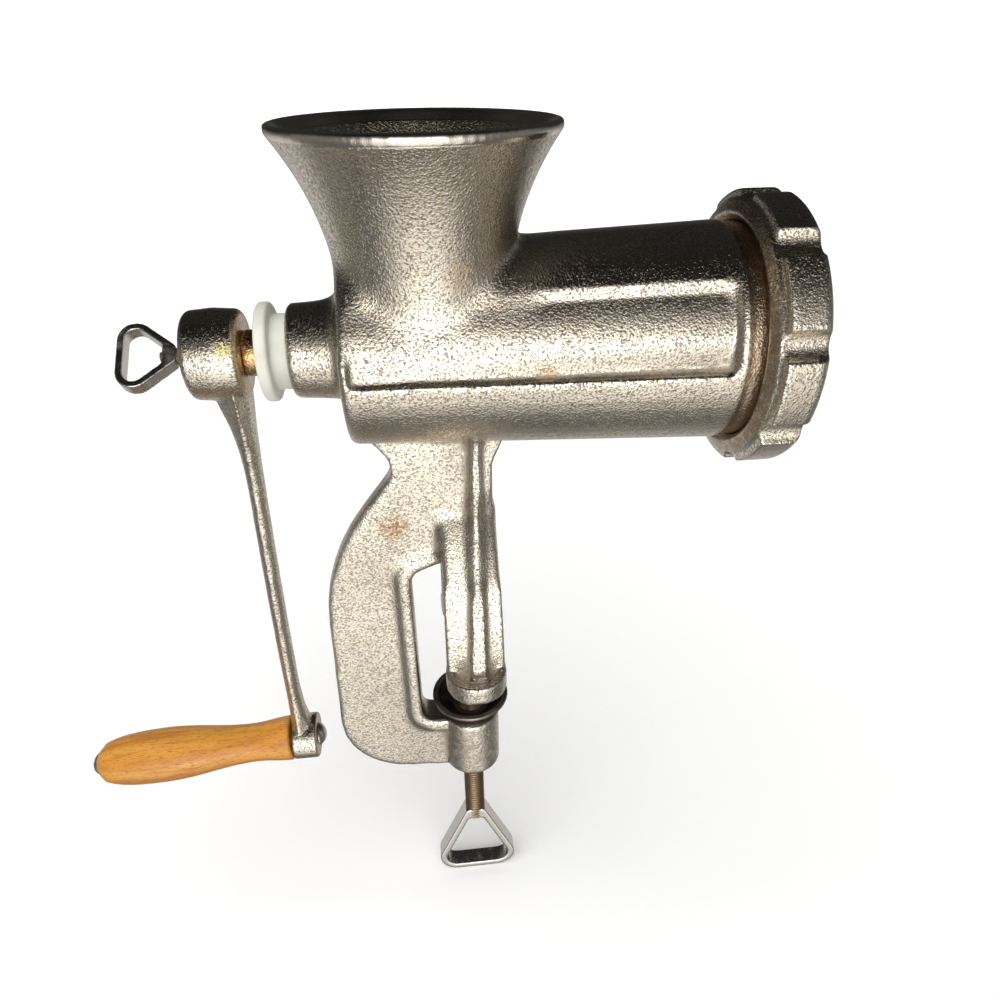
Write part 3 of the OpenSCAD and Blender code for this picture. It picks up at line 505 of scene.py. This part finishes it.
# %% [markdown]
# ## From CAD solids to castings
# A CAD node is loose triangles with knife-sharp edges. A sand casting has none: every corner is a small
# fillet. One way is to bevel each edge, but a casting has hundreds that meet in odd ways. Here a merged
# copy is remeshed into even little squares, and its points are then drawn towards their neighbours, which
# rounds edges and fills corners as the pattern maker's wax does. The first tools copy a node and hand a
# finished piece over.

# %% Copy a node and hand a piece over
def welded(node):
    """A merged copy of a CAD node's mesh."""
    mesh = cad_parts[node].data.copy()
    shape = bmesh.new()
    shape.from_mesh(mesh)
    bmesh.ops.remove_doubles(shape, verts=shape.verts, dist=0.002 * MM)
    shape.to_mesh(mesh)
    shape.free()
    mesh.materials.clear()
    return mesh


def settle(obj):
    """The object's mesh as its modifiers show it, with the modifiers gone."""
    seen = obj.evaluated_get(bpy.context.evaluated_depsgraph_get())
    mesh = bpy.data.meshes.new_from_object(seen)
    obj.modifiers.clear()
    obj.data = mesh
    return mesh


def place_piece(name, mesh):
    obj = bpy.data.objects.new(name, mesh)
    scene.collection.objects.link(obj)
    return obj


def hand_over(obj, body, node, finish):
    """The finished piece takes its material, its body and the place of its CAD node."""
    obj.data.materials.clear()
    obj.data.materials.append(finish)
    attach(obj, body)
    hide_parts(node)
    print(obj.name, "has", len(obj.data.polygons), "faces")


print("tools: welded, settle, place_piece, hand_over")

# %% [markdown]
# ## Easing and relief
# To ease a point is to draw it towards the mean of its neighbours. Blender's Smooth modifier does the same,
# but here some places need more rounds than others, and numpy can do that for all points at once. The same
# sum tells where dirt gathers and where shade is painted: what more easing would fill is a hollow, and what
# it would take off is an edge. Both values stay on the points, for the finishes to read.

# %% Ease points and mark their relief
def mesh_arrays(mesh):
    points = np.empty(3 * len(mesh.vertices))
    mesh.vertices.foreach_get("co", points)
    edges = np.empty(2 * len(mesh.edges), dtype=np.int32)
    mesh.edges.foreach_get("vertices", edges)
    return points.reshape(-1, 3), edges.reshape(-1, 2)


def eased(values, edges, rounds, share=0.5):
    """Rows of values drawn a share of the way to the mean of their neighbours, a number of times."""
    size = len(values)
    count = np.bincount(edges.ravel(), minlength=size)
    for _ in range(rounds):
        for column in range(values.shape[1]):
            own = values[:, column]
            total = np.bincount(edges[:, 0], own[edges[:, 1]], size)
            total += np.bincount(edges[:, 1], own[edges[:, 0]], size)
            values[:, column] = own + share * (total / count - own)
    return values


def mark_relief(mesh, points, edges, rounds, full):
    """Write how hollow and how exposed each point is: 1 where easing would move it by the full length."""
    normals = np.empty(3 * len(points))
    mesh.vertex_normals.foreach_get("vector", normals)
    moved = eased(points.copy(), edges, rounds) - points
    outward = (moved * normals.reshape(-1, 3)).sum(axis=1, keepdims=True)
    outward = eased(outward, edges, 4)[:, 0]
    for name, sign in (("hollow", 1.0), ("edge", -1.0)):
        layer = mesh.attributes.new(name, "FLOAT", "POINT")
        layer.data.foreach_set("value", np.clip(sign * outward / full, 0.0, 1.0).astype(np.float32))


print("tools: mesh_arrays, eased, mark_relief")

# %% [markdown]
# ## A cast copy
# Here the tools come together: copy, remesh, ease, and ease more where wax was laid. Small squares make a
# heavy mesh, so a Decimate modifier can take points away where the surface is plain. It comes before the
# relief is marked, because the values belong to the points that stay.

# %% Copy a node as a casting
def cast_copy(node, name, voxel, rounds, look=24, full=0.9, melts=(), keep=1.0, reshape=None):
    """Sizes are millimetres. Melts are (where, rounds), and keep is the share of faces that stays."""
    obj = place_piece(name, welded(node))
    remesh = obj.modifiers.new("even", "REMESH")
    remesh.mode = "VOXEL"
    remesh.voxel_size = voxel * MM
    mesh = settle(obj)
    points, edges = mesh_arrays(mesh)
    if reshape:
        points = reshape(points / MM) * MM
    points = eased(points, edges, rounds)
    for where, more in melts:
        points = eased(points, edges, more, 0.5 * where(points / MM))
    mesh.vertices.foreach_set("co", points.ravel())
    mesh.update()
    if keep < 1.0:
        thin = obj.modifiers.new("lighter", "DECIMATE")
        thin.ratio = keep
        mesh = settle(obj)
        points, edges = mesh_arrays(mesh)
    mark_relief(mesh, points, edges, look, full * MM)
    mesh.shade_smooth()
    return obj


print("cast_copy() is ready")

# %% [markdown]
# ## The casting
# Hopper, barrel, neck, frame, legs and feet were poured in one go, so they are one piece here too. Where
# the pattern maker laid wax, round the foot of the hopper, at the tops of the legs, along the back of the
# frame and at the front end of the side panels, the points get many more rounds. Each place is a product of
# ramps along the object, in millimetres.

# %% Say where the wax was laid
HOPPER_X = -9.1


def ramp(values, nought, full):
    """0 at one value and 1 at another, which may be the lower one."""
    return np.clip((values - nought) / (full - nought), 0.0, 1.0)


def hopper_foot(points):
    x, y, z = points.T
    away = np.hypot(x - HOPPER_X, y)
    return ramp(away, 25.0, 28.0) * ramp(away, 46.0, 40.0) * ramp(z, 146.0, 150.0) * ramp(z, 182.0, 172.0)


def leg_tops(points):
    out = np.abs(points[:, 1])
    z = points[:, 2]
    return ramp(out, 3.0, 6.0) * ramp(out, 24.0, 20.0) * ramp(z, 44.0, 50.0) * ramp(z, 86.0, 74.0)


def frame_back(points):
    return ramp(points[:, 0], -18.0, -24.0) * ramp(points[:, 2], 96.0, 86.0)


def panel_end(points):
    x, y, z = points.T
    return ramp(x, 84.0, 86.5) * ramp(x, 91.0, 90.0) * ramp(np.abs(y), 24.0, 26.0) * ramp(z, 137.0, 140.0)


WAX = ((hopper_foot, 70), (leg_tops, 30), (frame_back, 14), (panel_end, 16))
print("wax in", len(WAX), "places")

# %% [markdown]
# ## The side panels
# A panel is sunk into each side of the barrel. In the CAD its floor is a plain cone. On the real one the
# floor comes out towards its top, so that the step along the top stays low up to the outlet. Points of the
# floor are moved away from the barrel's axis to match, and all others stay. The squares of the casting are
# a little under a millimetre, fine enough for these panels.

# %% Bring the panels out and cast the body
AXIS_Z = 141.0
BARREL_BACK, BARREL_FRONT = -38.7, 91.8
FLOOR_BACK, FLOOR_GROWTH = 31.3, 2.2
WALL_BACK, WALL_GROWTH = 33.5, 4.9
STEP_AT = 0.7254
PANEL_FROM, PANEL_TO = 0.03, 0.978
NEAR_STEP, NEAR_FLOOR = 0.2, 0.8
BROUGHT_OUT = 2.3


def fuller_panel(points):
    x, y, z = points.T
    along = (x - BARREL_BACK) / (BARREL_FRONT - BARREL_BACK)
    sunk = FLOOR_BACK + FLOOR_GROWTH * along
    step = STEP_AT * (WALL_BACK + WALL_GROWTH * along)
    away = np.hypot(y, z - AXIS_Z)
    share = ramp(np.degrees(np.arctan2(z - AXIS_Z, np.abs(y))), -2.0, 16.0)
    wanted = sunk + BROUGHT_OUT * along * share ** 2 * (3 - 2 * share)
    in_panel = (along > PANEL_FROM) & (along < PANEL_TO) & (np.abs(y) > step - NEAR_STEP)
    moves = in_panel & (away > sunk - NEAR_FLOOR) & (away < wanted)
    scale = np.where(moves, wanted / away, 1.0)
    print("panel points brought out:", int(moves.sum()))
    return np.column_stack((x, y * scale, AXIS_Z + (z - AXIS_Z) * scale))


casting = cast_copy("body_casting", "casting", voxel=0.95, rounds=2, look=30, full=1.0, melts=WAX, keep=0.6,
                    reshape=fuller_panel)
hand_over(casting, "body", "body_casting", casting_finish)

# %% [markdown]
# ## Ring, crank and worm
# These are smaller castings, so their squares are smaller too and the same few rounds of easing give
# tighter fillets. The shank of the crank gets more rounds, since years of hands and the tin bath have left
# it nearly oval.

# %% Cast the smaller pieces
def crank_shank(points):
    return ramp(points[:, 2], -40.0, -30.0) * ramp(points[:, 2], 122.0, 112.0)


ring = cast_copy("ring_nut", "notched_ring", voxel=0.6, rounds=2, look=30, full=0.8)
hand_over(ring, "ring", "ring_nut", ring_finish)
shank_worn = ((crank_shank, 40),)
crank = cast_copy("crank_arm", "crank", voxel=0.55, rounds=4, look=30, full=0.8, melts=shank_worn)
hand_over(crank, "drive", "crank_arm", crank_finish)
worm = cast_copy("auger", "worm", voxel=0.7, rounds=3)
hand_over(worm, "drive", "auger", worm_finish)

# %% [markdown]
# ## Loops and pad
# Both screws end in a loop of bent strap whose edges are worn round, and the pad is a pressed dish.
# Remeshing suits them for the same reason.

# %% Bend the loops and press the pad
clamp_loop = cast_copy("clamp_loop", "clamp_strap", voxel=0.45, rounds=3, look=16, full=0.5)
hand_over(clamp_loop, "clamp", "clamp_loop", loop_finish)
thumb_loop = cast_copy("crank_loop", "thumb_strap", voxel=0.35, rounds=3, look=16, full=0.4)
hand_over(thumb_loop, "thumbscrew", "crank_loop", loop_finish)
pad = cast_copy("pressure_pad", "pad", voxel=0.4, rounds=2, look=16, full=0.35)
hand_over(pad, "pad", "pressure_pad", pad_finish)

# %% [markdown]
# ## Turned and ground pieces
# The bushing, washer, bolt, plate, knife, stud, key and grip were turned or ground, so their edges are
# crisp. A Bevel modifier breaks each sharp edge by a few tenths of a millimetre, which catches the light.
# Triangles that lie in one plane are dissolved first, because a bevel needs clean faces.

# %% Break the edges of the turned pieces
def turned_copy(node, name, edge, angle=28.0):
    """A merged copy whose edges that are sharper than the angle get a narrow bevel."""
    mesh = welded(node)
    shape = bmesh.new()
    shape.from_mesh(mesh)
    bmesh.ops.dissolve_limit(shape, angle_limit=0.004, verts=shape.verts, edges=shape.edges)
    shape.to_mesh(mesh)
    shape.free()
    obj = place_piece(name, mesh)
    bevel = obj.modifiers.new("edges", "BEVEL")
    bevel.width = edge * MM
    bevel.segments = 2
    bevel.limit_method = "ANGLE"
    bevel.angle_limit = math.radians(angle)
    mesh = settle(obj)
    mesh.shade_smooth()
    mesh.set_sharp_from_angle(angle=math.radians(34))
    return obj


TURNED = (
    ("rear_bushing", "bushing", 0.5, "body", "bushing_plastic", bushing_finish),
    ("crank_washer", "washer", 0.25, "washer", "bright_steel", bright_finish),
    ("handle_bolt", "bolt", 0.3, "drive", "bright_steel", bright_finish),
    ("grinding_plate", "plate", 0.2, "plate", "bright_steel", bright_finish),
    ("knife", "blades", 0.3, "drive", "bright_steel", bright_finish),
    ("knife_stud", "stud", 0.3, "drive", "bright_steel", bright_finish),
    ("plate_key", "key", 0.2, "body", "bright_steel", bright_finish),
)
for node, name, edge, body, slot, finish in TURNED:
    hand_over(turned_copy(node, name, edge), body, node, finish)
grip = turned_copy("handle_grip", "wood_grip", edge=0.4, angle=40.0)
hand_over(grip, "grip", "handle_grip", grip_finish)

# %% [markdown]
# ## The core of the clamp screw
# The clamp screw is round about the Z axis, so a list of heights and radii says all about it. The list is
# read from the CAD node's own points. Where the thread runs, the core is thinner by the depth of the
# thread, and the list is spun again with more steps, so that the outline is smooth from close by.

# %% Read the outline and spin it
SCREW_RADIUS, PITCH_RISE, DEPTH = 5.0 * MM, 1.5 * MM, 0.75 * MM
THREAD_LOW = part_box("clamp_screw")[0].z
THREAD_TOP = -39.6 * MM


def outline(node):
    """Heights and radii of a solid that is round about the Z axis, from its lowest point up."""
    seen = {}
    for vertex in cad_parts[node].data.vertices:
        x, y, z = vertex.co
        seen.setdefault(round(z / (0.02 * MM)), []).append((z, round(math.hypot(x, y), 5)))
    rows = []
    for key in sorted(seen):
        high = seen[key][0][0]
        radii = sorted({radius for _, radius in seen[key]})
        ends = [radii[0], radii[-1]] if radii[-1] - radii[0] > 0.05 * MM else [radii[-1]]
        if rows and len(ends) == 2 and abs(ends[1] - rows[-1][1]) < abs(ends[0] - rows[-1][1]):
            ends.reverse()
        rows += [(high, radius) for radius in ends]
    return rows


def thinned(high, radius):
    threaded = THREAD_LOW - 0.01 * MM <= high <= THREAD_TOP + 0.01 * MM
    return radius - DEPTH if threaded and abs(radius - SCREW_RADIUS) < 0.05 * MM else radius


def spun(rows, steps=64):
    """A closed shape of heights and radii, spun about the Z axis."""
    shape = bmesh.new()
    angles = np.arange(steps) * 2 * math.pi / steps
    rings = []
    for high, radius in rows:
        rings.append([shape.verts.new((radius * math.cos(a), radius * math.sin(a), high)) for a in angles])
    for low, high in zip(rings, rings[1:]):
        for i in range(steps):
            shape.faces.new((low[i], low[(i + 1) % steps], high[(i + 1) % steps], high[i]))
    shape.faces.new(rings[0])
    shape.faces.new(rings[-1])
    bmesh.ops.remove_doubles(shape, verts=shape.verts, dist=0.001 * MM)
    bmesh.ops.recalc_face_normals(shape, faces=shape.faces)
    mesh = bpy.data.meshes.new("threaded_rod")
    shape.to_mesh(mesh)
    shape.free()
    mesh.shade_smooth()
    mesh.set_sharp_from_angle(angle=math.radians(40))
    return mesh


core = spun([(high, thinned(high, radius)) for high, radius in outline("clamp_screw")])
print("core of the clamp screw:", len(core.polygons), "faces")

# %% [markdown]
# ## The thread
# A thread is a ridge that follows a spiral. Geometry Nodes draws the spiral as a curve and sweeps a small
# square that stands on its corner along it, which leaves a V on each side. Its inputs are the sizes of any
# such screw.

# %% Build the thread tree
def thread_tree():
    tree = bpy.data.node_groups.new("screw_thread", "GeometryNodeTree")
    for name in ("Radius", "Pitch", "Turns", "Depth"):
        tree.interface.new_socket(name, in_out="INPUT", socket_type="NodeSocketFloat")
    tree.interface.new_socket("Finish", in_out="INPUT", socket_type="NodeSocketMaterial")
    tree.interface.new_socket("Geometry", in_out="OUTPUT", socket_type="NodeSocketGeometry")
    wire = Wire(tree)
    sizes = tree.nodes.new("NodeGroupInput").outputs
    radius, pitch, turns, depth = (Wire(tree, sizes[i]) for i in range(4))
    root = radius - depth
    spiral = wire.node("GeometryNodeCurveSpiral", {}, {
        "Resolution": 28, "Rotations": turns, "Height": pitch * turns,
        "Start Radius": root, "End Radius": root,
    })
    upright = wire.node("GeometryNodeSetCurveNormal", {"mode": "Z_UP"}, {"Curve": spiral})
    corner = {"Resolution": 4, "Radius": depth}
    ridge = wire.node("GeometryNodeCurvePrimitiveCircle", {"mode": "RADIUS"}, corner)
    along = {"Curve": upright, "Profile Curve": ridge, "Fill Caps": True}
    thread = wire.node("GeometryNodeCurveToMesh", {}, along)
    real = wire.node("GeometryNodeRealizeInstances", {}, {"Geometry": thread})
    finish = {"Geometry": real, "Material": Wire(tree, sizes[4])}
    done = wire.node("GeometryNodeSetMaterial", {}, finish)
    wire.feed(tree.nodes.new("NodeGroupOutput"), {"Geometry": done})
    return tree


THREAD = thread_tree()
print("thread inputs:", [item.name for item in THREAD.interface.items_tree if item.in_out == "INPUT"])

# %% [markdown]
# ## The two screws
# Core and thread of the clamp screw are joined into one mesh, so the screw stays one piece. Its pitch of
# 1.5 mm is the travel per turn of its joint, and the ridge starts half a turn from +X, at the back. The
# thread of the thumbscrew is hidden in the end of the worm's tang, so its shank stays plain with broken
# edges.

# %% Cut the screws
def thread_mesh(**sizes):
    """The thread as a plain mesh, made by a modifier on an object that is then removed."""
    obj = place_piece("thread", bpy.data.meshes.new("thread"))
    maker = obj.modifiers.new("thread", "NODES")
    maker.node_group = THREAD
    for item in THREAD.interface.items_tree:
        if item.in_out == "INPUT":
            maker[item.identifier] = sizes[item.name]
    mesh = settle(obj)
    bpy.data.objects.remove(obj)
    return mesh


THREAD_START = math.pi
turns = (THREAD_TOP - THREAD_LOW) / PITCH_RISE - 1.0
thread = thread_mesh(Radius=SCREW_RADIUS, Pitch=PITCH_RISE, Turns=turns, Depth=DEPTH, Finish=screw_finish)
lift = Matrix.Translation((0.0, 0.0, THREAD_LOW + 0.5 * PITCH_RISE))
thread.transform(lift @ Matrix.Rotation(THREAD_START, 4, "Z"))
shape = bmesh.new()
shape.from_mesh(core)
shape.from_mesh(thread)
bmesh.ops.recalc_face_normals(shape, faces=shape.faces)
shape.to_mesh(core)
shape.free()
bpy.data.meshes.remove(thread)
hand_over(place_piece("threaded_rod", core), "clamp", "clamp_screw", screw_finish)

thumbscrew = turned_copy("crank_screw", "thumb_shank", edge=0.2)
hand_over(thumbscrew, "thumbscrew", "crank_screw", screw_finish)

# %% [markdown]
# ## The CAD box
# The box of the CAD model, measured when the frame was loaded, is printed at the end. The dressed
# grinder has to stay in the box of its CAD model.

# %% Finish
print("CAD box", [[round(v, 4) for v in c] for c in cad_box])
